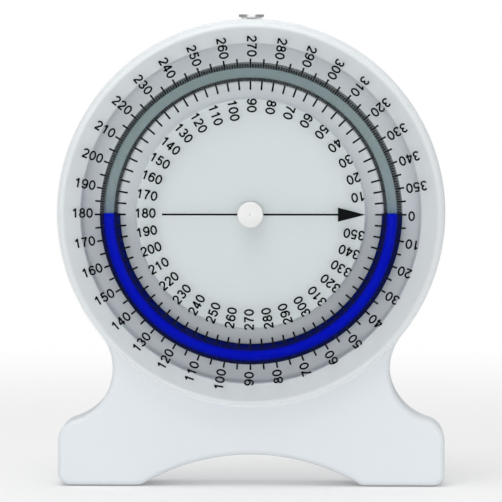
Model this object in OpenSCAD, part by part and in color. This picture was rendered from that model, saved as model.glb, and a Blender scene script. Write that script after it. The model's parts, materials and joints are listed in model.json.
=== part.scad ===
// Bubble inclinometer: a gravity goniometer with a liquid ring level and a turning dial.
//
// The housing parts are drawn lying on their backs: x to the right, y up the object, and z out of the
// front face. stand() then turns them upright, so that the finished part has +Z up, its front towards
// -Y, and its origin at the bottom centre of its box.

/* [Head] */
// Radius of the round head
head_r = 52.5; // [50:0.5:56]
// Height of the dial's axis above the feet
axis_h = 74; // [70:0.5:80]
// Step from the edge of the head in to the raised boss
boss_step = 0.7; // [0.5:0.1:1.2]
// Height of the raised boss above the leg plate
boss_rise = 4.2; // [3.4:0.1:5]
// Rounding of the raised boss
boss_round = 2; // [1:0.1:2.4]

/* [Legs] */
// How far the feet reach out past the head, on each side
foot_reach = 0; // [-2:0.5:3]
// Radius of the round notch between head and foot
notch_r = 14.7; // [12:0.1:16]
// How far the notch's centre lies inside the foot's outer side
notch_inset = 0.2; // [-1:0.1:1]
// Rounding of the foot's shoulder
shoulder_r = 6; // [5:0.1:7]
// Rounding of the foot's outer lower corner
toe_r = 3.3; // [3.2:0.1:5]
// Rounding of the foot's inner lower corner
heel_r = 4; // [3.2:0.1:6]
// Half the width of the arch between the feet
arch_half = 30; // [26:0.5:33]
// Height of the arch
arch_h = 8.4; // [6:0.2:10]

/* [Housing] */
// Depth of the whole object, hub cap to back
depth = 25.4; // [24.4:0.1:28]
// Depth of the front housing's side wall, leg face to seam
front_depth = 9.2; // [8.6:0.1:10]
// Wall thickness of both mouldings
wall = 2; // [1.6:0.1:2]
// Rounding of the outer edges
edge_r = 1.4; // [0.8:0.1:1.8]
// Height of the cover's locating lip
lip_h = 1.5; // [1:0.1:2]
// Thickness of the cover's locating lip
lip_t = 1; // [0.8:0.1:1.1]
// Thickness of the stiffening ribs
rib_t = 1.4; // [1:0.1:1.8]
// Number of ribs behind the plateau
rib_count = 6; // [4:1:9]

/* [Channel and tube] */
// Width of the rim outside the annular channel
rim_w = 6; // [5.6:0.1:7]
// Width of the annular channel
channel_w = 14.9; // [13:0.1:16]
// Depth of the channel
channel_depth = 6.3; // [6:0.1:6.8]
// Distance of the tube's centre line from the channel's outer wall
tube_inset = 7.7; // [6:0.1:9]
// Radius of the tube's section
tube_r = 2.9; // [2.4:0.1:3]
// Wall of the tube
tube_wall = 0.5; // [0.3:0.1:0.8]
// Depth of the seat groove that holds the tube
seat_depth = 0.45; // [0.3:0.05:0.6]
// Radius of the fill stub behind the tube
stub_r = 1.8; // [1.5:0.1:2]
// Radius of the bore in the fill stub
stub_bore = 1; // [0.7:0.1:1.1]
// Length of the fill stub behind the tube's centre
stub_len = 7; // [6:0.1:8]
// Length of the filler plug inside the stub
stub_plug_len = 2.5; // [1.5:0.1:3]
// Thickness of the filler plug's head
stub_plug_head = 0.8; // [0.5:0.1:1]

/* [Dial] */
// Step from the edge of the head in to the edge of the clear dial
dial_step = 0.3; // [0.1:0.1:0.6]
// Thickness of the clear dial
dial_t = 2; // [1.5:0.1:2.4]
// Rounding of the dial's edge
dial_edge = 0.5; // [0.3:0.1:0.7]
// Gap between the dial and the head
dial_gap = 0.3; // [0.2:0.05:0.4]

/* [Hub] */
// Radius of the fixed pin
pin_r = 1.25; // [1:0.05:1.4]
// Radius of the hub cap
cap_r = 3.5; // [3.3:0.1:5]
// Height of the hub cap
cap_h = 1.4; // [1.2:0.1:2]
// Rise of the cap's dome
cap_dome = 0.35; // [0.2:0.05:0.4]
// Radius of the bush's body
bush_r = 2.2; // [1.9:0.1:2.5]
// Radius of the bush's flange
flange_r = 3.2; // [3:0.1:3.3]
// Thickness of the bush's flange
flange_t = 0.25; // [0.2:0.05:0.4]
// Thickness of the thrust washer
thrust_t = 0.25; // [0.2:0.05:0.4]
// Depth of the pocket for the wave washer
pocket_depth = 0.5; // [0.4:0.05:0.6]
// Radial room round the wave washer in its pocket
pocket_room = 0.3; // [0.2:0.05:0.5]
// Thickness of the wave washer's strip
wave_t = 0.2; // [0.15:0.05:0.25]
// Radius of the boss that holds the pin
hub_boss_r = 4.2; // [3.8:0.1:5]
// Radius of the washer and the push nut behind the hub boss
nut_r = 3.6; // [3:0.1:4]
// Thickness of the washer behind the hub boss
pin_washer_t = 0.5; // [0.4:0.1:0.8]
// Thickness of the push nut
nut_t = 0.4; // [0.3:0.1:0.6]
// How far the pin's end stands out of the push nut
pin_tail = 1; // [0.6:0.1:2]

/* [Screws] */
// Radius of the screws' shank
screw_r = 1.45; // [1.2:0.05:1.5]
// Length of the screws under the head
screw_len = 7.6; // [6.5:0.1:8]
// Radius of the screws' head
screw_head_r = 2.8; // [2.4:0.1:2.8]
// Height of the screws' head
screw_head_h = 1.9; // [1.5:0.1:2]
// Depth of the screw head's top below the back face
screw_sink = 1.7; // [1.2:0.1:2]
// Radius of the screw bosses
boss_r = 3.6; // [3.2:0.1:3.8]
// Wall of the cover's column round a screw's head
column_wall = 1.8; // [1.4:0.1:2.2]
// Distance of the foot screws from the middle
foot_screw_x = 42; // [40:0.5:44]
// Height of the foot screws
foot_screw_y = 9; // [8:0.5:10]

/* [Top plug] */
// Radius of the plug's flat head
plug_head_r = 3.4; // [3:0.1:3.6]
// Thickness of the plug's flat head
plug_head_t = 0.7; // [0.5:0.1:1]
// Radius of the plug's shank
plug_r = 1.4; // [1:0.1:1.6]
// Length of the plug's shank
plug_len = 4; // [3:0.1:4]
// Radius of the washer under the plug
plug_washer_r = 2.8; // [2.2:0.1:2.8]
// Thickness of the washer under the plug
plug_washer_t = 0.4; // [0.3:0.1:0.6]
// How far the flat pad under the washer reaches past it
pad_margin = 0.2; // [0.1:0.05:0.4]
// Height of the flat pad above the head
pad_h = 0.1; // [0.1:0.05:0.3]

/* [Clearances] */
// Radial clearance of running fits
run_gap = 0.05; // [0.03:0.01:0.08]
// Radial clearance of fixed fits
fit_gap = 0.01; // [0.01:0.01:0.02]
// Gap between the cover's lip and the front housing
lip_gap = 0.1; // [0.05:0.05:0.15]
// Radial clearance round the screws in the cover
screw_gap = 0.2; // [0.1:0.05:0.3]

/* [Hidden] */
$fn = 96;

white = "#f1f3f4";
clear = [0.85, 0.92, 0.94, 0.35];
steel = "#b9bdc0";

// Levels along the axis of the dial, front positive
cap_front = depth / 2;
cap_back = cap_front - cap_h;
thrust_back = cap_back - run_gap - thrust_t;
dial_front = thrust_back - run_gap - flange_t;
dial_back = dial_front - dial_t;
face = dial_back - dial_gap;
leg_face = face - boss_rise;
seam = leg_face - front_depth;
back = -depth / 2;
floor_front = face - channel_depth;
floor_back = floor_front - wall;
tube_level = floor_front + tube_r - seat_depth;
pocket_floor = face - pocket_depth;
washer_back = floor_back - pin_washer_t;
nut_back = washer_back - nut_t;
// Thickness left in front of the pin in the cap
cap_roof = 0.5;
// How far cutting shapes reach past what they cut
cut = 1;

// Radii of the head
raised_r = head_r - boss_step;
channel_out = raised_r - rim_w;
channel_in = channel_out - channel_w;
ring_r = channel_out - tube_inset;
dial_r = head_r - dial_step;
pocket_r = flange_r + pocket_room;

// Plan of the housing: centres of the arcs, each tangent to the next
foot_half = head_r + foot_reach;
notch_x = foot_half - notch_inset;
notch_c = [notch_x, axis_h - sqrt(pow(head_r + notch_r, 2) - pow(notch_x, 2))];
shoulder_c = [foot_half - shoulder_r, notch_c.y
    - sqrt(pow(notch_r + shoulder_r, 2) - pow(notch_x - foot_half + shoulder_r, 2))];
toe_c = [foot_half - toe_r, toe_r];
arch_r = (pow(arch_half, 2) + pow(arch_h, 2)) / (2 * arch_h);
arch_c = [0, arch_h - arch_r];
heel_c = [sqrt(pow(arch_r + heel_r, 2) - pow(heel_r - arch_c.y, 2)), heel_r];

function heading(from, to) = atan2(to.y - from.y, to.x - from.x);
to_notch = heading([0, axis_h], notch_c);
to_shoulder = heading(notch_c, shoulder_c);
to_heel = heading(arch_c, heel_c);

// Arcs down the right side, from the top of the head to the top of the arch: centre, radius, first and
// last angle, 1 for a hollow arc or -1 for a round one, and 1 where a straight line follows.
// The parallel line at the distance d inside has the same centres and the radii r + d * side.
SIDE_ARCS = [
    [[0, axis_h], head_r, 90, to_notch, -1, 0],
    [notch_c, notch_r, 180 + to_notch, 360 + to_shoulder, 1, 0],
    [shoulder_c, shoulder_r, 180 + to_shoulder, 0, -1, 1],
    [toe_c, toe_r, 0, -90, -1, 1],
    [heel_c, heel_r, -90, to_heel - 180, -1, 0],
    [arch_c, arch_r, to_heel, 90, 1, 1],
];
// Largest distance between an arc and its chords
chord_error = 0.06;

function steps(a) = ceil(abs(a[3] - a[2]) / (2 * acos(1 - chord_error / a[1])));
function heading_at(a, i) = a[2] + (a[3] - a[2]) * i / steps(a);
function side_line(d) = [for (a = SIDE_ARCS) for (i = [0:steps(a) - 1 + a[5]])
    a[0] + (a[1] + a[4] * d) * [cos(heading_at(a, i)), sin(heading_at(a, i))]];

// Outline of the housing, drawn d inside the real one, clockwise from the top of the head
function outline(d) = let(right = side_line(d))
    concat(right, [for (i = [len(right) - 2:-1:1]) [-right[i].x, right[i].y]]);

// Screw places: four behind the channel and one in each foot
SCREWS = concat([for (a = [45:90:315]) [ring_r * cos(a), axis_h + ring_r * sin(a)]],
    [[foot_screw_x, foot_screw_y], [-foot_screw_x, foot_screw_y]]);
screw_top = back + screw_sink + screw_head_h;
column_end = seam - wall;
column_r = screw_head_r + column_wall;
pad_r = plug_washer_r + pad_margin;
plug_level = (leg_face + seam) / 2;
// Ribs behind the legs, and the level that the cover's ribs rise to
LEG_RIBS = [-arch_half + rib_t, 0, arch_half - rib_t];
rib_top = back + 2 * wall;

module stand() rotate([90, 0, 0]) children();

module at_axis() translate([0, axis_h, 0]) children();

module at_screws() for (p = SCREWS) translate([p.x, p.y, 0]) children();

// Solid of revolution about the dial's axis, from a profile of radius and level
module turned(points) at_axis() rotate_extrude() polygon(points);

module disc(r, from, to) translate([0, 0, from]) cylinder(r = r, h = to - from);

// Straight-sided slab with the housing's outline, drawn d inside it
module slab(d, from, to) translate([0, 0, from]) linear_extrude(to - from) polygon(outline(d));

// Quarter round of an outer edge: how far in, and at what level, for an edge at a level facing up or down
round_steps = 4;
function edge_round(r, level, up) = [for (i = [0:round_steps]) let(a = 90 * i / round_steps)
    [r - r * cos(a), level + up * (r * sin(a) - r)]];

// Slab with a rounded outer edge, as a stack of thin layers that step in along the quarter round
module rounded_slab(joint, level) {
    up = level > joint ? 1 : -1;
    turn = 18;
    for (a = [0:turn:90 - turn]) let(top = level + up * edge_r * (sin(a + turn) - 1))
        slab(edge_r * (1 - cos(a)), min(joint, top), max(joint, top));
}

module rib(x, from, to, low, high) translate([x - rib_t / 2, from, low]) cube([rib_t, to - from, high - low]);

module front_shell() {
    difference() {
        union() {
            rounded_slab(seam, leg_face);
            turned(concat([[0, leg_face - wall / 2], [raised_r, leg_face - wall / 2]],
                [for (p = edge_round(boss_round, face, 1)) [raised_r - p[0], p[1]]], [[0, face]]));
        }
        slab(wall, seam - cut, leg_face - wall);
        at_axis() disc(raised_r - wall, leg_face - wall - cut, face - wall);
    }
}

module front_bosses() {
    at_axis() disc(hub_boss_r, floor_back, face - wall / 2);
    at_screws() disc(boss_r, column_end, leg_face - wall / 2);
    translate([0, axis_h + channel_out + wall / 2, plug_level]) rotate([-90, 0, 0]) {
        cylinder(r = plug_r + wall, h = head_r - channel_out - wall);
        cylinder(r = pad_r, h = head_r - channel_out - wall / 2 + pad_h);
    }
}

module front_ribs() {
    at_axis() for (i = [0:rib_count - 1]) rotate([0, 0, (i + 0.5) * 360 / rib_count])
        rib(0, pin_r + wall, channel_in - wall / 2, floor_back, face - wall / 2);
    for (x = LEG_RIBS)
        rib(x, arch_h + wall / 2, axis_h - channel_out, seam + lip_h + wall, leg_face - wall / 2);
}

module front_housing() color(white) stand() difference() {
    union() {
        front_shell();
        turned([[channel_in - wall, floor_back], [channel_out + wall, floor_back],
            [channel_out + wall, face - wall / 2], [channel_in - wall, face - wall / 2]]);
        front_bosses();
        front_ribs();
    }
    turned([[channel_in, floor_front], [channel_out, floor_front], [channel_out, face + cut],
        [channel_in, face + cut]]);
    at_axis() translate([0, 0, tube_level]) rotate_extrude() translate([ring_r, 0])
        circle(r = tube_r + fit_gap);
    at_axis() disc(pocket_r, pocket_floor, face + cut);
    at_axis() disc(pin_r + fit_gap, floor_back - cut, face);
    at_screws() disc(screw_r + fit_gap, column_end - cut, screw_top + screw_len + run_gap);
    translate([0, axis_h + ring_r, 0]) disc(stub_r + run_gap, floor_back - cut, tube_level);
    translate([0, axis_h + head_r + pad_h - plug_len - run_gap, plug_level]) rotate([-90, 0, 0])
        cylinder(r = plug_r + fit_gap, h = plug_len + cut);
}

module rear_cover() color(white) stand() difference() {
    union() {
        difference() {
            rounded_slab(seam, back);
            slab(wall, back + wall, seam + cut);
        }
        // Locating lip that enters the front housing, on a thicker stretch of wall below the seam
        difference() {
            union() {
                slab(wall / 2, seam - wall, seam);
                slab(wall + lip_gap, seam - wall, seam + lip_h);
            }
            slab(wall + lip_gap + lip_t, back + wall, seam + lip_h + cut);
            // Room for the plug's boss
            translate([0, axis_h + head_r, plug_level]) rotate([90, 0, 0])
                cylinder(r = pad_r + run_gap, h = head_r - channel_out);
        }
        at_screws() disc(column_r, back + wall / 2, column_end);
        at_axis() for (i = [0:rib_count - 1]) rotate([0, 0, (i + 0.5) * 360 / rib_count])
            rib(0, hub_boss_r, ring_r - column_r, back + wall / 2, rib_top);
        for (x = LEG_RIBS)
            rib(x, arch_h + wall / 2, axis_h - ring_r, back + wall / 2, rib_top);
    }
    at_screws() disc(screw_head_r + screw_gap, back - cut, screw_top);
    at_screws() disc(screw_r + screw_gap, back - cut, column_end + cut);
}

// One screw: pan head with a cross recess at the back, shank towards the front
recess_reach = screw_head_r * 0.6;
recess_w = screw_head_r * 0.24;

module case_screw() difference() {
    union() {
        disc(screw_head_r, screw_top - screw_head_h, screw_top);
        disc(screw_r, screw_top - screw_head_h / 2, screw_top + screw_len);
    }
    for (turn = [0, 90]) rotate([0, 0, turn])
        translate([-recess_reach, -recess_w / 2, screw_top - screw_head_h - cut])
            cube([2 * recess_reach, recess_w, screw_head_h / 2 + cut]);
}

module case_screws() color(steel) stand() at_screws() case_screw();

// Ring of round section, or the part of one below the axis
module ring(r, sweep) at_axis() translate([0, 0, tube_level]) rotate([0, 0, -180])
    rotate_extrude(angle = sweep) translate([ring_r, 0]) circle(r = r);

module at_stub() translate([0, axis_h + ring_r, tube_level - stub_len]) children();

module ring_tube() color(clear) stand() difference() {
    union() {
        ring(tube_r, 360);
        at_stub() cylinder(r = stub_r, h = stub_len);
    }
    ring(tube_r - tube_wall, 360);
    at_stub() translate([0, 0, -cut]) cylinder(r = stub_bore, h = stub_len + cut);
}

module blue_fluid() color("#1418b4") stand() ring(tube_r - tube_wall - run_gap, 180);

module filler_plug() color("#3a3d40") stand() at_stub() {
    translate([0, 0, -stub_plug_head]) cylinder(r = stub_r, h = stub_plug_head);
    translate([0, 0, -stub_plug_head]) cylinder(r = stub_bore - fit_gap, h = stub_plug_head + stub_plug_len);
}

module dial() color(clear) stand() turned(concat([[bush_r, dial_back], [dial_r - dial_edge, dial_back]],
    [for (i = [round_steps:-1:0]) let(p = edge_round(dial_edge, dial_back, -1)[i]) [dial_r - p[0], p[1]]],
    [for (p = edge_round(dial_edge, dial_front, 1)) [dial_r - p[0], p[1]]],
    [[bush_r, dial_front]]));

module dial_bush() color("#e8e8e4") stand() at_axis() difference() {
    union() {
        disc(bush_r - fit_gap, dial_back, dial_front + flange_t / 2);
        disc(flange_r, dial_front, dial_front + flange_t);
    }
    disc(pin_r + run_gap, dial_back - cut, dial_front + flange_t + cut);
}

module thrust_washer() color("#d9dcdc") stand() at_axis() difference() {
    disc(flange_r, thrust_back, thrust_back + thrust_t);
    disc(pin_r + run_gap, thrust_back - cut, thrust_back + thrust_t + cut);
}

// Cap with a low dome and a small dimple, bored from behind for the pin
dome_r = (pow(cap_r, 2) + pow(cap_dome, 2)) / (2 * cap_dome);
dimple_r = 0.35;

module hub_cap() color(white) stand() at_axis() difference() {
    intersection() {
        disc(cap_r, cap_back, cap_front);
        translate([0, 0, cap_front - dome_r]) sphere(r = dome_r, $fn = 360);
    }
    disc(pin_r + fit_gap, cap_back - cut, cap_front - cap_roof);
    disc(dimple_r, cap_front - cap_roof / 2, cap_front + cut);
}

module hub_pin() color(steel) stand() at_axis()
    disc(pin_r, nut_back - pin_tail, cap_front - cap_roof - fit_gap);

// Spring washer of three waves, a flat strip whose level rises and falls round the pin
wave_room = dial_back - pocket_floor - 2 * fit_gap;

module wave_washer() color(steel) stand() at_axis() {
    n = 36;
    waves = 3;
    inner = pin_r + 2 * run_gap;
    mid = (dial_back + pocket_floor - wave_t) / 2;
    swing = (wave_room - wave_t) / 2;
    polyhedron([for (i = [0:n - 1]) let(a = i * 360 / n, level = mid + swing * sin(waves * a))
            for (p = [[inner, 0], [flange_r, 0], [flange_r, wave_t], [inner, wave_t]])
                [p[0] * cos(a), p[0] * sin(a), level + p[1]]],
        [for (i = [0:n - 1]) let(k = 4 * i, m = 4 * ((i + 1) % n))
            for (j = [0:3]) let(l = (j + 1) % 4) each [[k + j, k + l, m + l], [k + j, m + l, m + j]]]);
}

module pin_washer() color("#d9dcdc") stand() at_axis() difference() {
    disc(nut_r, washer_back, floor_back);
    disc(pin_r + run_gap, washer_back - cut, floor_back + cut);
}

// Push-on nut: a thin disc with its bore on the pin and slots that let its teeth spring
slot_reach = nut_r * 0.6;

module push_nut() color(steel) stand() at_axis() difference() {
    disc(nut_r, nut_back, washer_back);
    disc(pin_r + fit_gap, nut_back - cut, floor_back);
    for (i = [0:2]) rotate([0, 0, i * 60]) translate([-slot_reach, -nut_t / 2, nut_back - cut])
        cube([2 * slot_reach, nut_t, nut_t + 2 * cut]);
}

module at_plug() translate([0, axis_h + head_r + pad_h, plug_level]) rotate([-90, 0, 0]) children();

module plug_washer() color("#e4e6e6") stand() at_plug() difference() {
    disc(plug_washer_r, 0, plug_washer_t);
    disc(plug_r + run_gap, -cut, plug_washer_t + cut);
}

module top_plug() color(steel) stand() at_plug() {
    disc(plug_head_r, plug_washer_t, plug_washer_t + plug_head_t);
    disc(plug_r, plug_washer_t - plug_len, plug_washer_t + plug_head_t / 2);
}

front_housing();
rear_cover();
case_screws();
ring_tube();
blue_fluid();
filler_plug();
dial();
dial_bush();
thrust_washer();
hub_cap();
hub_pin();
wave_washer();
pin_washer();
push_nut();
top_plug();
plug_washer();
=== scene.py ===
# %% [markdown]
# # A bubble inclinometer
#
# This is a gravity goniometer: a white moulded body with a round head and splayed feet, a ring of clear
# tube half full of blue liquid, and a clear dial in front that turns by hand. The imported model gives
# every piece its place and size. This script dresses it: smooth mouldings, liquid, print and metal.

# %% Load the frame
import json
import math
import bmesh
import bpy
from mathutils import Matrix, Vector

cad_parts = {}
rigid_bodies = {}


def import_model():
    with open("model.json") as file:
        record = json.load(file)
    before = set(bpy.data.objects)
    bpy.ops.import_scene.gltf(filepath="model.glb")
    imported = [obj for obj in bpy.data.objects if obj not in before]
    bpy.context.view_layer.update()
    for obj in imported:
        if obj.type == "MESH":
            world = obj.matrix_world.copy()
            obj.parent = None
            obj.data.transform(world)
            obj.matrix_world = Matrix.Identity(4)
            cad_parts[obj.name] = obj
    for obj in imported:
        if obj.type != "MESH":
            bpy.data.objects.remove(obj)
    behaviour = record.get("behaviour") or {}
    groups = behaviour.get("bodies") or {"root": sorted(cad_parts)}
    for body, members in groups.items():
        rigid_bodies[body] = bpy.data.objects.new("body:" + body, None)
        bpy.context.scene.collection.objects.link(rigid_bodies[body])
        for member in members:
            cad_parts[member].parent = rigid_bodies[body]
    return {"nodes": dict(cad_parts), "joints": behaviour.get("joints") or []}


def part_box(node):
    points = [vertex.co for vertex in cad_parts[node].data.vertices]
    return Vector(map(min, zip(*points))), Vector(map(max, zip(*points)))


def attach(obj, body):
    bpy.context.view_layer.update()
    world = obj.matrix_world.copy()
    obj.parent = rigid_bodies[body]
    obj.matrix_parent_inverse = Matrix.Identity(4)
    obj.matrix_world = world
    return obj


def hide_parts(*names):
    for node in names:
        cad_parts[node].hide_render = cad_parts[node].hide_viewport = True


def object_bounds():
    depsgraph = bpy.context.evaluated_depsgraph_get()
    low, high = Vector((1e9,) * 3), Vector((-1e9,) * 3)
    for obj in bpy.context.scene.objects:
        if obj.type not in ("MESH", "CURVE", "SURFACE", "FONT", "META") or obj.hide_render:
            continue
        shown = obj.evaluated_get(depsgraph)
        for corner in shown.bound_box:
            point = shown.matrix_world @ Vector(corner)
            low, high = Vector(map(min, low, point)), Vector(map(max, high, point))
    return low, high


for leftover in list(bpy.data.objects):
    bpy.data.objects.remove(leftover)
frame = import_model()
cad_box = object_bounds()
MM = 0.001
print("CAD box in mm:", [[round(v / MM, 2) for v in corner] for corner in cad_box])

# %% [markdown]
# ## Levels and main sizes
#
# The levels are read from the frame, so that every surface lands on its solid. A solid's box tells where
# its outer faces are, and the two joints give the axis and the level of the tube. The front looks towards
# -Y, so a smaller y is nearer to the reader. Sizes in this script are in millimetres, and MM turns them
# into metres.

# %% Faces read from the frame
LOW, HIGH = 0, 1
X, Y, Z = 0, 1, 2


def box_face(name, end, axis):
    """Where a solid's box begins or ends along an axis, in millimetres."""
    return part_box(name)[end][axis] / MM


joint_places = {joint["name"]: joint["pos_m"] for joint in frame["joints"]}
AXIS_H = joint_places["dial_spin"][Z] / MM
FACE_Y = box_face("front_housing", LOW, Y)
BACK_Y = box_face("rear_cover", HIGH, Y)
DIAL_FRONT_Y = box_face("dial", LOW, Y)
DIAL_BACK_Y = box_face("dial", HIGH, Y)
HEAD_R = box_face("rear_cover", HIGH, Z) - AXIS_H
DIAL_R = box_face("dial", HIGH, X)
TUBE_Y = joint_places["fluid_level"][Y] / MM
TUBE_R = TUBE_Y - box_face("ring_tube", LOW, Y)
RING_R = box_face("ring_tube", HIGH, X) - TUBE_R
print("axis at", AXIS_H, "head radius", round(HEAD_R, 2), "ring radius", round(RING_R, 2))

# %% [markdown]
# A few sizes of the mouldings don't show in any box. They are the ones that a mould maker would ask for:
# how far the round boss stands in front of the legs, how wide its rim is, and how wide and deep the
# channel for the tube is. Each is written once, with its own name.

# %% Sizes of the mouldings
BOSS_RISE = 4.2
BOSS_STEP = 0.7
BOSS_ROUND = 2.0
RIM_W = 6.0
CHANNEL_W = 14.9
CHANNEL_DEPTH = 6.3
LIP_H = 1.5
EDGE_R = 1.4

LEG_FACE_Y = FACE_Y + BOSS_RISE
SEAM_Y = box_face("rear_cover", LOW, Y) + LIP_H
BOSS_R = HEAD_R - BOSS_STEP
CHANNEL_OUT = BOSS_R - RIM_W
CHANNEL_IN = CHANNEL_OUT - CHANNEL_W
FLOOR_Y = FACE_Y + CHANNEL_DEPTH
print("face", FACE_Y, "leg face", LEG_FACE_Y, "seam", SEAM_Y, "back", BACK_Y)

# %% [markdown]
# ## Finishes
#
# Every finish here starts as a Principled shader, which covers plastic, rubber, metal and ink with one
# set of sockets. Three small helpers keep the recipes short: one makes the material, one adds a node,
# and one joins two sockets.

# %% Helpers for materials
def principled(name, colour, **inputs):
    """A new material and its Principled shader. An underscore in a keyword stands for a space."""
    material = bpy.data.materials.new(name)
    material.use_nodes = True
    shader = material.node_tree.nodes["Principled BSDF"]
    shader.inputs["Base Color"].default_value = (*colour, 1)
    for key, value in inputs.items():
        shader.inputs[key.replace("_", " ")].default_value = value
    material.diffuse_color = (*colour, 1)
    return material, shader


def node(material, kind, **values):
    """Adds a node. Each value goes to the socket of that name, or else to the node's own setting."""
    made = material.node_tree.nodes.new(kind)
    for key, value in values.items():
        socket = made.inputs.get(key.replace("_", " "))
        if socket is not None:
            socket.default_value = value
        else:
            setattr(made, key, value)
    return made


def join(material, source, target):
    """Links one socket to another."""
    material.node_tree.links.new(source, target)


# %% [markdown]
# No real surface is quite even. Moulded plastic has a very fine grain in its gloss and its surface, so a
# noise drives the roughness and a faint bump, and a much larger, weaker noise varies the colour. An image
# could carry the same grain, but noise needs no file and has no seam. It reads Object coordinates, so it
# stays on the piece when the piece moves.

# %% Grain for a finish
RELIEF_M = 0.0001
CLOUD_TO_GRAIN = 60


def grain(material, shader, scale, roughness, bump=0.0, tone=0.0):
    """Fine structure: noise in the gloss, in the surface and, a little, in the colour."""
    place = node(material, "ShaderNodeTexCoord").outputs["Object"]
    noise = node(material, "ShaderNodeTexNoise", Scale=scale, Detail=4.0)
    join(material, place, noise.inputs["Vector"])
    spread = node(material, "ShaderNodeMapRange")
    spread.inputs["To Min"].default_value = roughness[0]
    spread.inputs["To Max"].default_value = roughness[1]
    join(material, noise.outputs["Fac"], spread.inputs["Value"])
    join(material, spread.outputs["Result"], shader.inputs["Roughness"])
    if bump:
        relief = node(material, "ShaderNodeBump", Strength=bump, Distance=RELIEF_M)
        join(material, noise.outputs["Fac"], relief.inputs["Height"])
        join(material, relief.outputs["Normal"], shader.inputs["Normal"])
    if tone:
        base = shader.inputs["Base Color"].default_value[:3]
        cloud = node(material, "ShaderNodeTexNoise", Scale=scale / CLOUD_TO_GRAIN, Detail=2.0)
        join(material, place, cloud.inputs["Vector"])
        ramp = node(material, "ShaderNodeValToRGB")
        ramp.color_ramp.elements[0].position = 0.3
        ramp.color_ramp.elements[1].position = 0.7
        ramp.color_ramp.elements[0].color = (*[c * (1 - tone) for c in base], 1)
        ramp.color_ramp.elements[1].color = (*[min(1, c * (1 + tone)) for c in base], 1)
        join(material, cloud.outputs["Fac"], ramp.inputs["Fac"])
        join(material, ramp.outputs["Color"], shader.inputs["Base Color"])
    return material


# %% [markdown]
# The body is a cool white plastic with a satin gloss, and the cap is a warmer and shinier white. The
# bush and the plain washers are nylon without dye, and the spring washer and the nut are spring steel.
# The screws, the pin and the top plug are nickel plated, and the filler plug is rubber. The ink is black
# and matt, because a shiny ink would turn grey under the lamps.

# %% Finishes of the body, the hub, the metal parts and the ink
WHITE = grain(*principled("moulded_white", (0.76, 0.80, 0.83)),
              scale=1800, roughness=(0.38, 0.5), bump=0.06, tone=0.012)
CAP_WHITE = grain(*principled("cap_white", (0.80, 0.81, 0.80)),
                  scale=1500, roughness=(0.25, 0.35), bump=0.03, tone=0.01)
NATURAL = grain(*principled("natural_nylon", (0.70, 0.71, 0.68)),
                scale=1500, roughness=(0.4, 0.55), bump=0.05, tone=0.02)
NICKEL = grain(*principled("nickel_plate", (0.56, 0.57, 0.57), Metallic=1.0),
               scale=2500, roughness=(0.22, 0.38), bump=0.05)
SPRING = grain(*principled("spring_steel", (0.40, 0.41, 0.43), Metallic=1.0),
               scale=2500, roughness=(0.25, 0.4), bump=0.05)
RUBBER = grain(*principled("black_rubber", (0.02, 0.02, 0.02)), scale=1200, roughness=(0.6, 0.8), bump=0.1)
INK = grain(*principled("black_ink", (0.003, 0.004, 0.005), Specular_IOR_Level=0.05),
            scale=3000, roughness=(0.45, 0.6), bump=0.02)
print("finishes:", [material.name for material in bpy.data.materials])

# %% [markdown]
# ## The clear pieces
#
# Clear acrylic lets nearly all light through and takes a little away. It could be made with glass that
# bends light, but that is slow to render and grows noisy behind a second clear piece. A low alpha over a
# nearly black colour is enough: it dims what lies behind and adds no haze of its own, so the liquid stays
# deep blue. The round pieces' colour and opacity change from their middle to their rim, partly as painted
# light and shade, so they come from ramps that read the distance from the dial's axis.

# %% Ramps along the radius
def along_radius(material, r_from, r_to):
    """The place between two radii about the dial's axis, from 0 to 1."""
    place = node(material, "ShaderNodeTexCoord").outputs["Object"]
    centred = node(material, "ShaderNodeVectorMath", operation="SUBTRACT")
    centred.inputs[1].default_value = (0, 0, AXIS_H * MM)
    join(material, place, centred.inputs[0])
    flat = node(material, "ShaderNodeVectorMath", operation="MULTIPLY")
    flat.inputs[1].default_value = (1, 0, 1)
    join(material, centred.outputs[0], flat.inputs[0])
    radius = node(material, "ShaderNodeVectorMath", operation="LENGTH")
    join(material, flat.outputs[0], radius.inputs[0])
    across = node(material, "ShaderNodeMapRange")
    across.inputs["From Min"].default_value = r_from * MM
    across.inputs["From Max"].default_value = r_to * MM
    join(material, radius.outputs["Value"], across.inputs["Value"])
    return across.outputs["Result"]


def ramp_to(material, source, stops, target):
    """Feeds a socket from a ramp of (position, colour or level), the two ends first."""
    ramp = node(material, "ShaderNodeValToRGB")
    points = ramp.color_ramp.elements
    for index, (position, value) in enumerate(stops):
        point = points[index] if index < 2 else points.new(position)
        point.position = position
        point.color = (*value, 1) if isinstance(value, tuple) else (value, value, value, 1)
    join(material, source, ramp.inputs["Fac"])
    join(material, ramp.outputs["Color"], target)
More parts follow.
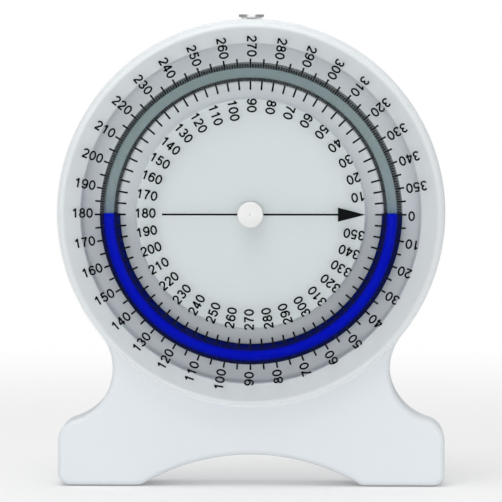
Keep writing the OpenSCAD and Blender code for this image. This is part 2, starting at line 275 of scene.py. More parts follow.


# %% [markdown]
# The dial is a clear sheet with a faint green tint, as acrylic has. The tint is stronger over the white
# plateau in the middle than over the channel. Over the rim the sheet is a little more opaque, which
# darkens the rim as painted shade. The last millimetre or two at the rounded edge is painted white and
# more opaque, a painted highlight. Two ramps along the radius hold these changes, one for the colour
# and one for the opacity.

# %% Clear finishes of the dial and the tube's wall
CLEAR, shader = principled("clear_acrylic", (0.0, 0.03, 0.027), Roughness=0.08, Specular_IOR_Level=0.1)
# The white edge colour is a painted highlight on the dial's rounded edge.
OVER_PLATEAU, OVER_CHANNEL, EDGE_HIGHLIGHT_PAINT = (0.0, 0.12, 0.08), (0.0, 0.02, 0.02), (0.82, 0.84, 0.84)
PLATEAU_END, CHANNEL_START, CHANNEL_END, RIM_START = 30.0, 32.0, 44.0, 46.0
# From the first of these radii to the edge, the dial is painted white and grows more opaque: a painted
# highlight.
HIGHLIGHT_START, HIGHLIGHT_WHITE, HIGHLIGHT_FULL = DIAL_R - 2.2, DIAL_R - 1.4, DIAL_R - 0.8
# The opacity over the rim is a little higher than inside, which darkens the rim: painted shade.
ALPHA_INSIDE, ALPHA_RIM_SHADE, ALPHA_HIGHLIGHT, ALPHA_END = 0.09, 0.12, 0.18, 0.22
dial_place = along_radius(CLEAR, 0.0, DIAL_R)
ramp_to(CLEAR, dial_place, [(0.0, OVER_PLATEAU), (1.0, EDGE_HIGHLIGHT_PAINT), (PLATEAU_END / DIAL_R, OVER_PLATEAU),
                            (CHANNEL_START / DIAL_R, OVER_CHANNEL), (HIGHLIGHT_START / DIAL_R, OVER_CHANNEL),
                            (HIGHLIGHT_WHITE / DIAL_R, EDGE_HIGHLIGHT_PAINT)], shader.inputs["Base Color"])
ramp_to(CLEAR, dial_place, [(0.0, ALPHA_INSIDE), (1.0, ALPHA_END), (CHANNEL_END / DIAL_R, ALPHA_INSIDE),
                            (RIM_START / DIAL_R, ALPHA_RIM_SHADE), (HIGHLIGHT_START / DIAL_R, ALPHA_RIM_SHADE),
                            (HIGHLIGHT_FULL / DIAL_R, ALPHA_HIGHLIGHT)], shader.inputs["Alpha"])
TUBE = grain(*principled("clear_tube", (0.01, 0.03, 0.03), Alpha=0.02, Specular_IOR_Level=0.1),
             scale=600, roughness=(0.05, 0.12))
# The print gives where the painted edge highlight begins.
print("the dial's edge glows from", round(HIGHLIGHT_START, 1), "to", round(DIAL_R, 1), "mm")

# %% [markdown]
# A round tube works as a lens. Its middle shows what lies straight behind, and its sides bend the view
# away and look dark. A lens could be traced with glass, but here a ramp across the tube paints the same
# bands into the colour, as painted shade at the sides, without noise. It runs from the tube's inner side
# at 0 to its outer side at 1. The liquid is deep blue in the middle and painted almost black at the
# sides. The air in the other half looks grey-green, and its painted dark sides are narrow.

# %% Finishes of the liquid and the air
LIQUID, shader = principled("blue_liquid", (0.0, 0.0, 0.6), Roughness=0.4, Specular_IOR_Level=0.0)
# The near-black ends of this ramp are painted shade at the tube's sides.
ramp_to(LIQUID, along_radius(LIQUID, RING_R - TUBE_R, RING_R + TUBE_R),
        [(0.0, (0.0, 0.002, 0.07)), (1.0, (0.001, 0.002, 0.10)), (0.15, (0.0, 0.001, 0.17)),
         (0.3, (0.0, 0.001, 0.52)), (0.5, (0.0, 0.001, 0.7)), (0.7, (0.0, 0.001, 0.52)),
         (0.85, (0.0, 0.001, 0.19))], shader.inputs["Base Color"])

AIR, shader = principled("air_in_tube", (0.06, 0.24, 0.27), Roughness=0.4, Specular_IOR_Level=0.0)
tube_place = along_radius(AIR, RING_R - TUBE_R, RING_R + TUBE_R)
# The dark colour at the sides of the air's ramp is painted shade, where the tube bends the view away.
LENS_SHADE_SIDES, MIDDLE_TINT = (0.02, 0.03, 0.03), (0.0, 0.12, 0.12)
ramp_to(AIR, tube_place, [(0.0, LENS_SHADE_SIDES), (1.0, LENS_SHADE_SIDES), (0.24, LENS_SHADE_SIDES), (0.3, MIDDLE_TINT),
                          (0.69, MIDDLE_TINT), (0.75, LENS_SHADE_SIDES)], shader.inputs["Base Color"])
ramp_to(AIR, tube_place, [(0.0, 0.0), (1.0, 0.3), (0.07, 0.08), (0.15, 0.5), (0.24, 0.5),
                          (0.3, 0.33), (0.69, 0.33), (0.76, 0.5), (0.94, 0.5)], shader.inputs["Alpha"])
print("the tube runs from radius", round(RING_R - TUBE_R, 2), "to", round(RING_R + TUBE_R, 2), "mm")

# %% [markdown]
# ## Turned shapes
#
# The head, the dial, the tube and the cap are all round about the dial's axis. Each is drawn once as a
# section, a closed loop of radius and level, and spun about the axis. Spinning keeps every ring of
# points exactly round, and one helper serves every such piece.

# %% From a bmesh to a finished piece
SHARP_ANGLE = 30.0


def finished(mesh_name, bm, material, smooth_angle=SHARP_ANGLE):
    """Turns a bmesh into an object with smooth faces and crisp edges."""
    mesh = bpy.data.meshes.new(mesh_name)
    bm.to_mesh(mesh)
    bm.free()
    for face in mesh.polygons:
        face.use_smooth = True
    mesh.set_sharp_from_angle(angle=math.radians(smooth_angle))
    mesh.materials.append(material)
    piece = bpy.data.objects.new(mesh_name, mesh)
    bpy.context.scene.collection.objects.link(piece)
    return piece


# %% [markdown]
# A full spin makes a closed ring from the section's outline alone. Half a ring needs its two ends closed
# as well, so there the section starts as a face, and the spin leaves one face at each end. The normals
# are recalculated at the end, because the sense of a spin can turn a shape inside out.

# %% Spin a section about the dial's axis
FULL = 2 * math.pi
ROUND_STEPS = 240
SAME_PLACE = 0.000001


def spun(section, angle=FULL, start=0.0, steps=ROUND_STEPS):
    """A bmesh made by spinning a closed section of (radius, level) points, in millimetres."""
    bm = bmesh.new()
    verts = [bm.verts.new((r * MM, y * MM, 0)) for r, y in section]
    geom = verts + [bm.edges.new((a, b)) for a, b in zip(verts, verts[1:] + verts[:1])]
    whole = angle > FULL - 0.001
    if not whole:
        geom.append(bm.faces.new(verts))
    bmesh.ops.spin(bm, geom=geom, cent=(0, 0, 0), axis=(0, 1, 0), angle=angle, steps=steps,
                   use_merge=whole, use_duplicate=False)
    bmesh.ops.remove_doubles(bm, verts=bm.verts, dist=SAME_PLACE)
    bmesh.ops.rotate(bm, verts=bm.verts, cent=(0, 0, 0), matrix=Matrix.Rotation(start, 3, "Y"))
    bmesh.ops.translate(bm, verts=bm.verts, vec=(0, 0, AXIS_H * MM))
    bmesh.ops.recalc_face_normals(bm, faces=bm.faces)
    return bm


def on_circle(r, y, radius, angle):
    """The point of a circle about (r, y) at an angle in degrees."""
    return r + radius * math.cos(math.radians(angle)), y + radius * math.sin(math.radians(angle))


def arc(r, y, radius, first, last, steps=6):
    """Points of a circle about (r, y), from one angle to another, in degrees."""
    return [on_circle(r, y, radius, first + (last - first) * i / steps) for i in range(steps + 1)]


print("steps of a full turn:", ROUND_STEPS)

# %% [markdown]
# ## The outline of the housing
#
# Both halves of the housing share one outline: the round head, a hollow notch on each side, the
# shoulder of each foot, rounded toes, and a shallow arch between the feet. The arcs touch each other
# without a corner, so each centre follows from its neighbours' radii. This is the same construction as
# in the solid model, with finer steps. The head's points lie on the same rays as those of the turned
# pieces, which keeps the faces tidy where the two are joined.

# %% Centres of the outline's arcs
FOOT_HALF = HEAD_R
NOTCH_R, SHOULDER_R, TOE_R, HEEL_R = 14.7, 6.0, 3.3, 4.0
ARCH_HALF, ARCH_H = 30.0, 8.4
NOTCH_INSET = 0.2
NOTCH_X = FOOT_HALF - NOTCH_INSET
notch_c = (NOTCH_X, AXIS_H - math.sqrt((HEAD_R + NOTCH_R) ** 2 - NOTCH_X ** 2))
shoulder_x = FOOT_HALF - SHOULDER_R
shoulder_c = (shoulder_x, notch_c[1] - math.sqrt((NOTCH_R + SHOULDER_R) ** 2 - (NOTCH_X - shoulder_x) ** 2))
toe_c = (FOOT_HALF - TOE_R, TOE_R)
ARCH_R = (ARCH_HALF ** 2 + ARCH_H ** 2) / (2 * ARCH_H)
arch_c = (0.0, ARCH_H - ARCH_R)
heel_c = (math.sqrt((ARCH_R + HEEL_R) ** 2 - (HEEL_R - arch_c[1]) ** 2), HEEL_R)
print("waist notch about", [round(v, 2) for v in notch_c], "arch radius", round(ARCH_R, 1))

# %% [markdown]
# Two circles that touch do so on the line between their centres. The heading of that line is therefore
# the angle at which one arc ends and the next one begins. Only the right side is worked out, and the
# left side is its mirror image.

# %% The outline, arc by arc
def heading(a, b):
    """The direction from one point to another, in degrees."""
    return math.degrees(math.atan2(b[1] - a[1], b[0] - a[0]))


def outline():
    """The outline as (x, z) points in millimetres, clockwise from the top of the head."""
    to_notch = heading((0, AXIS_H), notch_c)
    to_shoulder = heading(notch_c, shoulder_c)
    to_heel = heading(arch_c, heel_c)
    step = 360 / ROUND_STEPS
    rays = [90 - i * step for i in range(math.ceil((90 - to_notch) / step))]
    side = ([on_circle(0, AXIS_H, HEAD_R, ray) for ray in rays]
            + arc(*notch_c, NOTCH_R, 180 + to_notch, 360 + to_shoulder, 32)[:-1]
            + arc(*shoulder_c, SHOULDER_R, 180 + to_shoulder, 0, 14)
            + arc(*toe_c, TOE_R, 0, -90, 12)
            + arc(*heel_c, HEEL_R, -90, to_heel - 180, 6)[:-1]
            + arc(*arch_c, ARCH_R, to_heel, 90, 20))
    return side + [(-x, z) for x, z in side[-2:0:-1]]


print("outline points:", len(outline()))

# %% [markdown]
# ## Rounded slabs
#
# The housing is moulded in two halves that meet at a seam. Each half starts as a flat face with the
# housing's outline. Extruding it gives the side wall, and a bevel rounds the outer edge. A much smaller
# bevel at the joint face breaks that edge too, so that the two halves meet in a fine dark line, as real
# mouldings do.

# %% Extrude and round one half
JOINT_BEVEL = 0.22
ON_LEVEL = 1e-7


def rounded_half(joint_y, outer_y):
    """A slab with the housing's outline, from the joint face to its rounded outer face."""
    bm = bmesh.new()
    verts = [bm.verts.new((x * MM, joint_y * MM, z * MM)) for x, z in outline()]
    joint_face = bm.faces.new(verts)
    grown = bmesh.ops.extrude_face_region(bm, geom=[joint_face], use_keep_orig=True)
    moved = [item for item in grown["geom"] if isinstance(item, bmesh.types.BMVert)]
    bmesh.ops.translate(bm, verts=moved, vec=(0, (outer_y - joint_y) * MM, 0))
    bmesh.ops.recalc_face_normals(bm, faces=bm.faces)
    for level, radius, segments in ((outer_y, EDGE_R, 6), (joint_y, JOINT_BEVEL, 2)):
        rim = [edge for edge in bm.edges if all(abs(v.co.y - level * MM) < ON_LEVEL for v in edge.verts)]
        bmesh.ops.bevel(bm, geom=rim, offset=radius * MM, segments=segments, profile=0.5,
                        affect="EDGES", material=-1, clamp_overlap=False)
    return bm


# %% [markdown]
# Channels and wells could be built point by point, but a cutter is closer to the way a tool is made, and
# a solid cutter leaves a closed solid. After the cuts a large flat face can look wavy, because its
# normals are averaged with those of narrow faces beside it. Weighted normals let the large faces lead.

# %% Cut a piece and set its normals
def cut_by(piece, cutters, operation="DIFFERENCE"):
    """Applies exact booleans to a piece and takes the cutters away."""
    for cutter in cutters:
        modifier = piece.modifiers.new(cutter.name, "BOOLEAN")
        modifier.operation = operation
        modifier.solver = "EXACT"
        modifier.object = cutter
    bpy.context.view_layer.update()
    shape = bpy.data.meshes.new_from_object(piece.evaluated_get(bpy.context.evaluated_depsgraph_get()))
    piece.modifiers.clear()
    piece.data = shape
    for cutter in cutters:
        bpy.data.objects.remove(cutter)
    return piece


def crisp(piece):
    """Smooth faces, crisp edges, and normals that follow the large flat faces."""
    for face in piece.data.polygons:
        face.use_smooth = True
    piece.data.set_sharp_from_angle(angle=math.radians(SHARP_ANGLE))
    weighted = piece.modifiers.new("flat_faces_lead", "WEIGHTED_NORMAL")
    weighted.keep_sharp = True
    weighted.weight = 100
    return piece


# %% [markdown]
# ## The front housing
#
# The front half is one white moulding: the legs with a round boss in front of them, which carries the
# channel for the tube. The boss is turned with a generous round on its rim, and joined to the legs so
# that the two read as one moulding. Its open middle leaves room for the pin.

# %% Legs and boss
BOSS_BORE, BOSS_ROOT = 2.0, 1.5
root_y = LEG_FACE_Y + BOSS_ROOT
front = finished("front_moulding", rounded_half(SEAM_Y, LEG_FACE_Y), WHITE)
boss_rim = arc(BOSS_R - BOSS_ROUND, FACE_Y + BOSS_ROUND, BOSS_ROUND, 0, -90, 10)
boss_section = [(BOSS_BORE, root_y), (BOSS_R, root_y)] + boss_rim + [(BOSS_BORE, FACE_Y)]
boss = finished("boss", spun(boss_section), WHITE)
cut_by(front, [boss], "UNION")
print("boss radius", round(BOSS_R, 2), "rim round", BOSS_ROUND)

# %% [markdown]
# The annular channel, the round seat in its floor that holds the tube, and the shallow pocket for the
# spring washer are cut out of the boss by turned cutters. The channel's cutter flares at the top and is
# rounded at the bottom, which rounds the moulding's edges in the same cut.

# %% Channel, seat and pocket
LIP_R, COVE_R = 0.5, 0.8
SEAT_GAP = 0.02
POCKET_ROOM, POCKET_DEPTH = 0.3, 0.5
CUTTER_BORE, CUTTER_PROUD = 1.0, 1.0
proud = FACE_Y - CUTTER_PROUD
channel_section = (
    [(CHANNEL_OUT + LIP_R, proud)] + arc(CHANNEL_OUT + LIP_R, FACE_Y + LIP_R, LIP_R, 270, 180)
    + arc(CHANNEL_OUT - COVE_R, FLOOR_Y - COVE_R, COVE_R, 0, 90)
    + arc(CHANNEL_IN + COVE_R, FLOOR_Y - COVE_R, COVE_R, 90, 180)
    + arc(CHANNEL_IN - LIP_R, FACE_Y + LIP_R, LIP_R, 0, -90) + [(CHANNEL_IN - LIP_R, proud)])
channel = finished("channel_cutter", spun(channel_section), WHITE)
seat = finished("seat_cutter", spun(arc(RING_R, TUBE_Y, TUBE_R + SEAT_GAP, 0, 360, 40)[:-1]), WHITE)
pocket_r = box_face("dial_bush", HIGH, X) + POCKET_ROOM
pocket_y = FACE_Y + POCKET_DEPTH
pocket_section = [(CUTTER_BORE, proud), (pocket_r, proud), (pocket_r, pocket_y), (CUTTER_BORE, pocket_y)]
pocket = finished("pocket_cutter", spun(pocket_section, steps=64), WHITE)
cut_by(front, [channel, seat, pocket])
crisp(front)
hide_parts("front_housing")
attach(front, "housing")
print("front moulding:", len(front.data.polygons), "faces")

# %% [markdown]
# ## The rear cover
#
# The back is plain and flat, with six round wells that hide the screws' heads: four behind the ring of
# the tube and one in each foot. Each well is cut by a turned cutter that flares a little at its mouth,
# so the edge catches the light. The cutter is turned about the dial's axis and then moved to its place.

# %% Rear cover with its screw wells
FOOT_SCREW_X, FOOT_SCREW_Z = 42.0, 9.0
WELL_R, WELL_DEPTH, WELL_FLARE = 3.0, 3.6, 0.3
WELL_Y = BACK_Y - WELL_DEPTH
screw_places = ([on_circle(0, AXIS_H, RING_R, ray) for ray in (45, 135, 225, 315)]
                + [(FOOT_SCREW_X, FOOT_SCREW_Z), (-FOOT_SCREW_X, FOOT_SCREW_Z)])


def well_cutter(x, z):
    """The cutter of one screw well, at a place on the back."""
    mouth_r = WELL_R + WELL_FLARE
    proud_y = BACK_Y + CUTTER_PROUD
    bm = spun([(0.0, WELL_Y), (WELL_R, WELL_Y)] + arc(mouth_r, BACK_Y - WELL_FLARE, WELL_FLARE, 180, 90)
              + [(mouth_r, proud_y), (0.0, proud_y)], steps=48)
    bmesh.ops.translate(bm, verts=bm.verts, vec=(x * MM, 0, (z - AXIS_H) * MM))
    return finished("well_cutter", bm, WHITE)


rear = finished("rear_moulding", rounded_half(SEAM_Y, BACK_Y), WHITE)
cut_by(rear, [well_cutter(x, z) for x, z in screw_places])
crisp(rear)
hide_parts("rear_cover")
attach(rear, "housing")
print("rear moulding:", len(rear.data.polygons), "faces")

# %% [markdown]
# ## The ring tube, the liquid and the bubble
#
# The level is a closed ring of clear tube that lies in its seat in the channel. It is a round section
# spun about the axis. Light passes its wall almost whole, so it throws no shadow and keeps out of the
# bounced light. Otherwise the white channel behind it would turn too dark.

# %% Tube wall
def ring_section(radius, steps=32):
    """The round section of the tube, as points of radius and level."""
    return arc(RING_R, TUBE_Y, radius, 0, 360, steps)[:-1]


tube = finished("tube_wall", spun(ring_section(TUBE_R)), TUBE)
tube.visible_shadow = tube.visible_diffuse = False
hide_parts("ring_tube")
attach(tube, "housing")
print("tube wall:", len(tube.data.polygons), "faces")

# %% [markdown]
# The tube's wall is thin, and the round section works as a lens, so the liquid seems to fill the tube
# from side to side. The liquid is therefore drawn nearly as wide as the tube. It rides on its own body
# and stays level while the housing turns, and so does the bubble of air in the other half.

# %% Liquid and bubble, half a ring each
WALL_SHOWN = 0.1
LIQUID_R = TUBE_R - WALL_SHOWN
liquid = finished("blue_liquid", spun(ring_section(LIQUID_R), angle=math.pi, start=0.0, steps=120), LIQUID)
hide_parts("blue_fluid")
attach(liquid, "fluid")
bubble = finished("air_bubble", spun(ring_section(LIQUID_R), angle=math.pi, start=math.pi, steps=120), AIR)
bubble.visible_shadow = bubble.visible_diffuse = False
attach(bubble, "fluid")
for piece in (liquid, bubble):
    zs = [v.co.z / MM for v in piece.data.vertices]
    print(piece.name, "from z", round(min(zs), 2), "to", round(max(zs), 2))

# %% [markdown]
# ## The dial
#
# The dial is a sheet of clear acrylic, cut round, bored for its bush and polished at its edge. A disc
# with a bevelled edge would do, but a spun section gives the hole and both rounded edges at once. It
# casts no shadow here, as light passes it almost whole, and the thin ink on it casts none worth seeing.

# %% Clear dial
DIAL_EDGE = 0.5
HOLE_R = 2.2
EDGE_AT = DIAL_R - DIAL_EDGE
dial_section = ([(HOLE_R, DIAL_BACK_Y)] + arc(EDGE_AT, DIAL_BACK_Y - DIAL_EDGE, DIAL_EDGE, 90, 0)
                + arc(EDGE_AT, DIAL_FRONT_Y + DIAL_EDGE, DIAL_EDGE, 0, -90)
                + [(HOLE_R, DIAL_FRONT_Y)])
dial = finished("clear_dial", spun(dial_section), CLEAR)
dial.visible_shadow = dial.visible_diffuse = False
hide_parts("dial")
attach(dial, "dial")
print("dial:", len(dial.data.polygons), "faces,", round(DIAL_BACK_Y - DIAL_FRONT_Y, 2), "mm thick")

# %% [markdown]
# ## The printed scales
#
# Two scales are printed on the dial's front face, one each side of the tube. The outer one runs
# clockwise and the inner one anticlockwise, both in whole degrees, with a longer mark every five
# degrees and a number every ten. A picture of the scale could be laid on the dial, but real marks stay
# sharp at any distance. Each one is a very thin block of ink with six faces, as there are 720 of them.

# %% Marks
INK_T = 0.03
MARK_WIDTH, FINE_WIDTH = 0.5, 0.43
OUTER_FINE, OUTER_LONG = (39.35, 40.45), (39.35, 41.9)
INNER_FINE, INNER_LONG = (35.8, 36.75), (33.5, 36.75)


def ink_block(bm, angle, r_from, r_to, width):
    """One mark on a ray from the axis, at an angle counted anticlockwise from the right."""
    size = Matrix.Diagonal(((r_to - r_from) * MM, INK_T * MM, width * MM, 1))
    place = Matrix.Translation(((r_from + r_to) / 2 * MM, (DIAL_FRONT_Y - INK_T / 2) * MM, 0))
    turn = Matrix.Rotation(-math.radians(angle), 4, "Y")
    lift = Matrix.Translation((0, 0, AXIS_H * MM))
    bmesh.ops.create_cube(bm, size=1, matrix=lift @ turn @ place @ size)


def scale_marks(name, fine, long):
    """A full ring of marks. Each kind has the radii where its marks begin and end."""
    bm = bmesh.new()
    for degree in range(360):
        if degree % 5:
            ink_block(bm, degree, *fine, FINE_WIDTH)
        else:
            ink_block(bm, degree, *long, MARK_WIDTH)
    marks = finished(name, bm, INK)
    marks.visible_shadow = False
    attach(marks, "dial")
    return marks


outer_marks = scale_marks("outer_marks", OUTER_FINE, OUTER_LONG)
inner_marks = scale_marks("inner_marks", INNER_FINE, INNER_LONG)
print("marks:", len(outer_marks.data.polygons) + len(inner_marks.data.polygons), "faces")

# %% [markdown]
# The numbers are plain upright figures of one line width. Each figure is drawn as the strokes of a
# pen, straight lines and parts of ellipses, in a box one unit high and centred on x = 0. A nine is a
# six turned half round. Drawn this way, they need no font and stay light.

# %% Strokes of the figures
def bend(x, y, rx, ry, first, last):
    """Part of an ellipse about (x, y), from one angle to another, in degrees."""
    steps = max(3, round(abs(last - first) / 20))
    angles = [math.radians(first + (last - first) * i / steps) for i in range(steps + 1)]
    return [(x + rx * math.cos(a), y + ry * math.sin(a)) for a in angles]


STROKES = {
    "0": [bend(0, 0.5, 0.27, 0.44, 90, 450)],
    "1": [[(0.06, 0), (0.06, 1)], [(0.05, 0.93), (-0.06, 0.81), (-0.2, 0.72)]],
    "2": [bend(0, 0.69, 0.25, 0.25, 170, -35) + [(-0.24, 0.1)], [(-0.3, 0.06), (0.28, 0.06)]],
    "3": [bend(-0.01, 0.72, 0.22, 0.22, 160, -95), bend(-0.01, 0.29, 0.26, 0.23, 95, -165)],
    "4": [[(0.1, 0.96), (-0.27, 0.3)], [(-0.32, 0.27), (0.32, 0.27)], [(0.12, 0), (0.12, 1)]],
    "5": [[(0.25, 0.94), (-0.15, 0.94), (-0.22, 0.48)], bend(0, 0.33, 0.26, 0.27, 145, -165)],
    "6": [bend(0, 0.33, 0.26, 0.27, 0, 360), bend(0.03, 0.5, 0.29, 0.44, 200, 35)],
    "7": [[(-0.28, 0.94), (0.3, 0.94)], [(0.25, 0.92), (0.1, 0.7), (-0.03, 0.4), (-0.09, 0)]],
    "8": [bend(0, 0.725, 0.21, 0.215, 0, 360), bend(0, 0.29, 0.26, 0.23, 0, 360)],
}
STROKES["9"] = [[(-x, 1 - y) for x, y in stroke] for stroke in STROKES["6"]]
print("strokes of each figure:", {character: len(paths) for character, paths in STROKES.items()})

# %% [markdown]
# The pen's line is a thin band of ink. At each point of the path the band is square to the line, and
# where the line turns it is mitred, so that its width stays the same. Each point of the path becomes a
# station of four corners, and the stations are joined to a closed solid. A curve with a bevel would draw
# the same line, but its band would be round, and many times heavier.

# %% Draw a stroke with the pen
FIGURE_H = 2.54
PEN = 0.185
SHARPEST_MITRE = 0.5


def pen_stroke(bm, path):
    """Adds the band of ink along one path, as a closed solid."""
    loop = math.dist(path[0], path[-1]) < 0.001
    points = [Vector(point) for point in (path[:-1] if loop else path)]
    count = len(points)
    stations = []
    for i, point in enumerate(points):
        before = (point - points[i - 1]) if i or loop else (points[1] - point)
        after = (points[(i + 1) % count] - point) if i < count - 1 or loop else before
        along = (before.normalized() + after.normalized()).normalized()
        across = Vector((-along.y, along.x))
        mitre = across.dot(Vector((-before.y, before.x)).normalized())
        reach = across * (PEN / 2 / max(mitre, SHARPEST_MITRE))
        stations.append([bm.verts.new(((point.x + side * reach.x) * FIGURE_H * MM, depth * INK_T / 2 * MM,
                                       (point.y + side * reach.y - 0.5) * FIGURE_H * MM))
                         for side, depth in ((-1, -1), (1, -1), (1, 1), (-1, 1))])
    pairs = list(zip(stations, stations[1:] + stations[:1])) if loop else list(zip(stations, stations[1:]))
    for one, two in pairs:
        for k in range(4):
            bm.faces.new((one[k], one[(k + 1) % 4], two[(k + 1) % 4], two[k]))
    if not loop:
        bm.faces.new(stations[0])
        bm.faces.new(stations[-1])


# %% [markdown]
# Each of the ten figures is drawn once and copied wherever it is printed, as a printer's block would be.

# %% The ten figures
def figure_mesh(character):
    """One figure, centred, standing in the X-Z plane and readable from the front."""
    bm = bmesh.new()
    for path in STROKES[character]:
        pen_stroke(bm, path)
    mesh = bpy.data.meshes.new("figure")
    bm.to_mesh(mesh)
    bm.free()
    return mesh


FIGURES = {character: figure_mesh(character) for character in STROKES}
print("faces of each figure:", {character: len(mesh.polygons) for character, mesh in FIGURES.items()})

# %% [markdown]
# A number's place is given by its ray and by the radius at which it starts or ends. The reading
# direction is towards the axis, so the figures are placed from the outside inwards. The outer numbers
# line up at their inner ends, and the inner numbers at their outer ends, next to their marks.

# %% Numbers
FIGURE_PITCH = 1.97
FIGURE_RAISE = 0.38
OUTER_START, INNER_END = 42.3, 31.3


def numbers(name, values, direction, outer_end):
    """A ring of numbers. direction is -1 where they grow clockwise and 1 where anticlockwise."""
    bm = bmesh.new()
    for value in values:
        text = str(value)
        turn = Matrix.Rotation(-math.radians(direction * value), 4, "Y")
        lift = Matrix.Translation((0, 0, AXIS_H * MM))
        flip = Matrix.Rotation(math.pi, 4, "Y")
        for index, character in enumerate(text):
            r = outer_end(text) - (index + 0.5) * FIGURE_PITCH
            place = Matrix.Translation((r * MM, (DIAL_FRONT_Y - INK_T / 2) * MM, -FIGURE_RAISE * MM))
            mesh = FIGURES[character].copy()
            mesh.transform(lift @ turn @ place @ flip)
            bm.from_mesh(mesh)
            bpy.data.meshes.remove(mesh)
    bmesh.ops.recalc_face_normals(bm, faces=bm.faces)
    ring = finished(name, bm, INK)
    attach(ring, "dial")
    return ring


outer_numbers = numbers("outer_numbers", range(0, 360, 10), -1,
                        lambda text: OUTER_START + len(text) * FIGURE_PITCH)
inner_numbers = numbers("inner_numbers", range(10, 360, 10), 1, lambda text: INNER_END)
for mesh in FIGURES.values():
    bpy.data.meshes.remove(mesh)
print("numbers:", len(outer_numbers.data.polygons) + len(inner_numbers.data.polygons), "faces")

# %% [markdown]
# The pointer is a fine line along a diameter, with an arrow head at the zero end. It is printed with the
# scales, so it turns with the dial. The head is a triangle, extruded by the thickness of the ink.

# %% Line and arrow
LINE_END, ARROW_BASE, ARROW_TIP, ARROW_HALF = 23.8, 23.5, 30.9, 1.92
bm = bmesh.new()
ink_block(bm, 0, -LINE_END, ARROW_BASE, MARK_WIDTH)
corners = [bm.verts.new((r * MM, DIAL_FRONT_Y * MM, (AXIS_H + side) * MM))
           for r, side in ((ARROW_BASE, ARROW_HALF), (ARROW_TIP, 0), (ARROW_BASE, -ARROW_HALF))]
arrow = bmesh.ops.extrude_face_region(bm, geom=[bm.faces.new(corners)], use_keep_orig=True)
bmesh.ops.translate(bm, verts=[v for v in arrow["geom"] if isinstance(v, bmesh.types.BMVert)],
                    vec=(0, -INK_T * MM, 0))
bmesh.ops.recalc_face_normals(bm, faces=bm.faces)
pointer = finished("pointer_line", bm, INK)
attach(pointer, "dial")
print("pointer:", LINE_END + ARROW_TIP, "mm long")

# %% [markdown]
# ## The hub cap
#
# A small white cap covers the pin. It has a low dome, a soft edge and a gate mark, the little dimple
# that moulding leaves at the centre. The dome falls off with the square of the radius, which is the
# plainest curve that is level in the middle.

# %% Hub cap
CAP_R = box_face("hub_cap", HIGH, X)
CAP_FRONT, CAP_BACK = box_face("hub_cap", LOW, Y), box_face("hub_cap", HIGH, Y)
DOME_FALL, CAP_ROUND, ROUND_LEVEL, CAP_CHAMFER = 0.5, 0.5, 0.85, 0.15
CAP_SHARP_ANGLE = 40
dome = [(r, CAP_FRONT + DOME_FALL * (r / CAP_R) ** 2) for r in (0.0, 0.8, 1.4, 2.0, 2.5, 2.9)]
dimple = [(0.0, CAP_FRONT + 0.28), (0.22, CAP_FRONT + 0.26), (0.36, CAP_FRONT + 0.05)]
cap_section = ([(0.0, CAP_BACK), (CAP_R - CAP_CHAMFER, CAP_BACK), (CAP_R, CAP_BACK - CAP_CHAMFER)]
               + arc(CAP_R - CAP_ROUND, CAP_FRONT + ROUND_LEVEL, CAP_ROUND, 0, -75, 5)
               + dome[:0:-1] + dimple[::-1])
cap = finished("centre_cap", spun(cap_section, steps=96), CAP_WHITE, CAP_SHARP_ANGLE)
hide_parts("hub_cap")
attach(cap, "housing")
print("cap radius", round(CAP_R, 2), "height", round(CAP_BACK - CAP_FRONT, 2))

# %% [markdown]
# ## Pieces that keep their solid
#
# The screws, the pin, the bush, the washers, the nut and the plugs are small turned or stamped parts, and
# the solids in the frame already have their right shape. Making them again would add nothing, so they
# only get a finish. The finish goes into the material slot, and the mesh is left alone.

# %% Finishes of the kept solids
KEPT = {"case_screws": NICKEL, "filler_plug": RUBBER, "dial_bush": NATURAL, "thrust_washer": NATURAL,
        "hub_pin": NICKEL, "wave_washer": SPRING, "pin_washer": NATURAL, "push_nut": SPRING,
        "top_plug": NICKEL, "plug_washer": CAP_WHITE}
for name, material in KEPT.items():
    frame["nodes"][name].data.materials.clear()
    frame["nodes"][name].data.materials.append(material)
print("kept solids:", len(KEPT))

# %% [markdown]
# ## The stage
#
# The stage is white to the camera, so the object stands alone. Close to the feet the floor is mostly a
# matt surface, which keeps the object's shadow, and further away it turns fully white. The white part
# glows only for rays that come from the camera, so it puts no extra light on the object.

# %% Finish of the floor
NEAR, FAR = 0.12, 0.5
NEAR_GLOW = 0.2
floor_material = bpy.data.materials.new("pale_floor")
floor_material.use_nodes = True
floor_material.node_tree.nodes.clear()
place = node(floor_material, "ShaderNodeTexCoord").outputs["Object"]
away = node(floor_material, "ShaderNodeVectorMath", operation="LENGTH")
join(floor_material, place, away.inputs[0])
fade = node(floor_material, "ShaderNodeMapRange")
fade.interpolation_type = "SMOOTHSTEP"
for key, value in {"From Min": NEAR, "From Max": FAR, "To Min": NEAR_GLOW, "To Max": 1.0}.items():
    fade.inputs[key].default_value = value
join(floor_material, away.outputs["Value"], fade.inputs["Value"])
paths = node(floor_material, "ShaderNodeLightPath")
glow_share = node(floor_material, "ShaderNodeMath", operation="MULTIPLY")
join(floor_material, fade.outputs["Result"], glow_share.inputs[0])
join(floor_material, paths.outputs["Is Camera Ray"], glow_share.inputs[1])
matt = node(floor_material, "ShaderNodeBsdfDiffuse")
matt.inputs["Color"].default_value = (0.9, 0.9, 0.9, 1)
glow = node(floor_material, "ShaderNodeEmission")
glow.inputs["Color"].default_value = (1, 1, 1, 1)
mix = node(floor_material, "ShaderNodeMixShader")
join(floor_material, glow_share.outputs[0], mix.inputs[0])
join(floor_material, matt.outputs[0], mix.inputs[1])
join(floor_material, glow.outputs[0], mix.inputs[2])
join(floor_material, mix.outputs[0], node(floor_material, "ShaderNodeOutputMaterial").inputs["Surface"])
print("the floor is white from", FAR, "m outwards")

# %% [markdown]
# The floor is one large flat face, a hair below the feet, so that the two never share a plane.

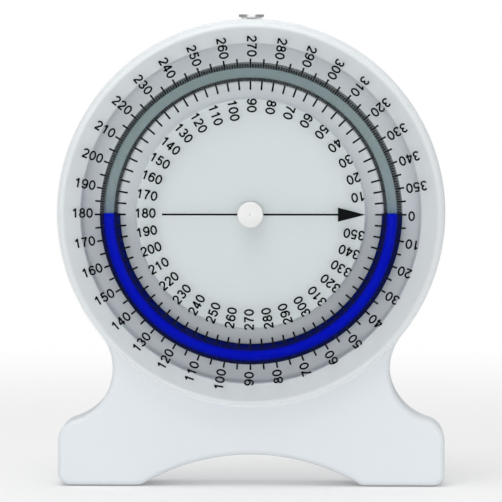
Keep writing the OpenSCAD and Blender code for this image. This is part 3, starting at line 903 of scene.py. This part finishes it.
# %% Floor
FLOOR_HALF, FLOOR_DROP = 6.0, 0.0002
bm = bmesh.new()
bmesh.ops.create_grid(bm, x_segments=1, y_segments=1, size=FLOOR_HALF)
bmesh.ops.translate(bm, verts=bm.verts, vec=(0, 0, -FLOOR_DROP))
floor = finished("floor", bm, floor_material)
print("floor:", 2 * FLOOR_HALF, "m wide")

# %% [markdown]
# ## Light
#
# A white object on a white stage shows its form only by soft changes of tone. The world gives an even
# light from all sides. To the camera it is white, and to the object it is less than half as bright, which
# keeps the pale faces below pure white.

# %% World
AMBIENT = 0.44
world = bpy.data.worlds.new("studio")
bpy.context.scene.world = world
world.use_nodes = True
tree = world.node_tree
tree.nodes.clear()
paths = tree.nodes.new("ShaderNodeLightPath")
level = tree.nodes.new("ShaderNodeMix")
level.data_type = "FLOAT"
level.inputs["A"].default_value = AMBIENT
level.inputs["B"].default_value = 1.0
background = tree.nodes.new("ShaderNodeBackground")
background.inputs["Color"].default_value = (1, 1, 1, 1)
surface = tree.nodes.new("ShaderNodeOutputWorld")
tree.links.new(paths.outputs["Is Camera Ray"], level.inputs["Factor"])
tree.links.new(level.outputs["Result"], background.inputs["Strength"])
tree.links.new(background.outputs["Background"], surface.inputs["Surface"])
print("ambient light:", AMBIENT)

# %% [markdown]
# Five soft lamps give the direction. One above and in front lights the dial, a weaker one at the upper
# left shapes the rim, and a long low one in front fills the channel. A lamp straight overhead leaves the
# flat front alone and picks out the rounded edges that face up. A large one behind lights the back and
# the floor.

# %% Lamps
MIDDLE = Vector((0, 0, 0.065))


def lamp(name, place, size, watts):
    """A soft lamp that looks at the middle of the object."""
    data = bpy.data.lights.new(name, "AREA")
    data.shape = "RECTANGLE"
    data.size, data.size_y = size
    data.energy = watts
    made = bpy.data.objects.new(name, data)
    made.location = place
    made.rotation_euler = (MIDDLE - made.location).to_track_quat("-Z", "Y").to_euler()
    bpy.context.scene.collection.objects.link(made)


lamp("top_lamp", (-0.08, -0.3, 0.8), (0.6, 0.4), 2.2)
lamp("upper_left_lamp", (-0.35, -0.5, 0.5), (0.5, 0.4), 0.5)
lamp("low_front_lamp", (0.0, -0.8, 0.07), (1.2, 0.12), 1.6)
lamp("overhead_lamp", (0.0, 0.02, 0.9), (0.7, 0.35), 1.4)
lamp("back_lamp", (0.2, 0.9, 0.6), (0.8, 0.6), 1.6)
print("lamps:", [light.name for light in bpy.data.lights])

# %% [markdown]
# ## Camera
#
# The camera looks at the dial through a long lens from more than a metre away. Close up, the tube would
# seem smaller than the scales in front of it, and from far off the rings stay in line. It stands slightly
# above and to the right, so the tops of the shoulders show as narrow bands.

# %% Camera
FRAME_MM = 135.7
RIGHT_BY, ABOVE_BY = math.radians(1.4), math.radians(3.3)
LENS_MM, SENSOR_MM = 300, 36
camera_data = bpy.data.cameras.new("camera")
camera_data.lens = LENS_MM
camera_data.sensor_width = SENSOR_MM
distance = FRAME_MM * MM * LENS_MM / SENSOR_MM
camera = bpy.data.objects.new("camera", camera_data)
aim = Vector((0, TUBE_Y * MM, sum(corner[Z] for corner in cad_box) / 2))
towards = Vector((math.sin(RIGHT_BY) * math.cos(ABOVE_BY), -math.cos(RIGHT_BY) * math.cos(ABOVE_BY),
                  math.sin(ABOVE_BY)))
camera.location = aim + distance * towards
camera.rotation_euler = towards.to_track_quat("Z", "Y").to_euler()
bpy.context.scene.collection.objects.link(camera)
bpy.context.scene.camera = camera
bpy.context.scene.view_settings.view_transform = "Standard"
print("camera distance", round(distance, 3), "m, from above by", round(math.degrees(ABOVE_BY), 1), "degrees")
